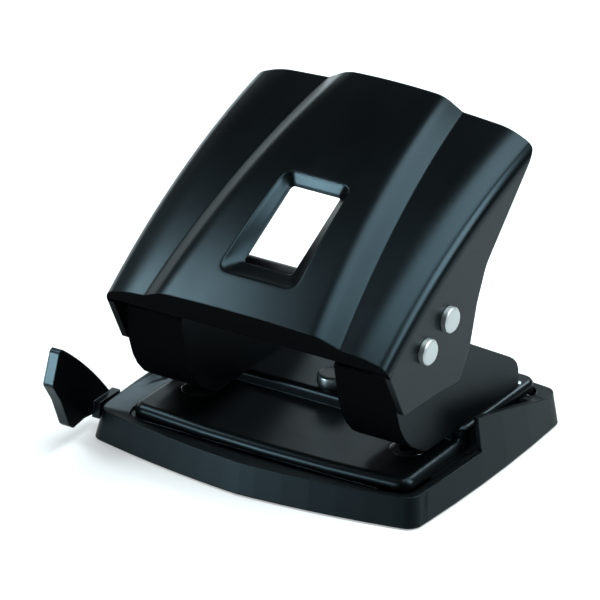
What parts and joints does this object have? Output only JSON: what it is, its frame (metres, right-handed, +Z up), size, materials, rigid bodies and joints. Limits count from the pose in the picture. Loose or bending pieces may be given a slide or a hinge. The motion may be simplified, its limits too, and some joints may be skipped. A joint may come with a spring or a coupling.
{
  "type": "two-hole lever paper punch",
  "caption": "Desk punch with a moulded lever, a steel table plate on a chip tray, sprung punches and a sliding sheet guide.",
  "frame": {"origin": "on the table, under the middle of the line through the two punches", "axes": "+X to the right of someone facing the sheet slot, +Y to the rear, +Z up"},
  "size_m": [0.1319, 0.1121, 0.1089],
  "materials": {
    "tray_plastic": "satin moulded, black",
    "guide_plastic": "satin moulded, black",
    "lever_plastic": "soft gloss moulded, black",
    "black_steel": "black powder coat, semi-gloss",
    "rubber": "matt",
    "bright_steel": "zinc plated",
    "dark_steel": "phosphated",
    "tool_steel": "ground",
    "spring_steel": "drawn wire",
    "nickel": "nickel plated, satin"
  },
  "bodies": {
    "base": {"chip_tray": "tray_plastic", "non_slip_mat": "rubber", "guide_click_spring": "spring_steel"},
    "frame": {"table_plate": "black_steel", "end_rivet_left": "bright_steel", "end_rivet_right": "bright_steel", "bracket_left": "black_steel", "bracket_right": "black_steel", "bracket_rivets_left": "dark_steel", "bracket_rivets_right": "dark_steel", "centre_stud": "bright_steel", "die_left": "tool_steel", "die_right": "tool_steel", "punch_bush_left": "dark_steel", "punch_bush_right": "dark_steel", "punch_spring_left": "spring_steel", "punch_spring_right": "spring_steel", "pivot_pin_left": "nickel", "pivot_pin_right": "nickel", "pivot_clip_left": "dark_steel", "pivot_clip_right": "dark_steel"},
    "lever": {"lever": "lever_plastic", "drive_shaft": "nickel"},
    "punch_left": {"punch_left": "tool_steel", "spring_cup_left": "bright_steel"},
    "punch_right": {"punch_right": "tool_steel", "spring_cup_right": "bright_steel"},
    "guide": {"paper_guide": "guide_plastic"}
  },
  "joints": [
    {"name": "tray_open", "type": "hinge", "parent": "base", "child": "frame", "pos_m": [0, 0.0512, 0.0108], "axis": [-1, 0, 0], "range_deg": [0, 45]},
    {"name": "lever_press", "type": "hinge", "parent": "frame", "child": "lever", "pos_m": [0, -0.012, 0.054], "axis": [-1, 0, 0], "range_deg": [0, 26], "stiffness_Nm_per_rad": 0.6, "springref_deg": -25.78},
    {"name": "punch_left_stroke", "type": "slide", "parent": "frame", "child": "punch_left", "axis": [0, 0, -1], "range_m": [0, 0.0065], "deforming": ["punch_spring_left"]},
    {"name": "punch_right_stroke", "type": "slide", "parent": "frame", "child": "punch_right", "axis": [0, 0, -1], "range_m": [0, 0.0065], "deforming": ["punch_spring_right"]},
    {"name": "guide_slide", "type": "slide", "parent": "base", "child": "guide", "axis": [-1, 0, 0], "range_m": [0, 0.0834]}
  ],
  "couplings": [
    {"joint": "punch_left_stroke", "follows": "lever_press", "m_per_rad": 0.01409},
    {"joint": "punch_right_stroke", "follows": "lever_press", "m_per_rad": 0.01409}
  ]
}
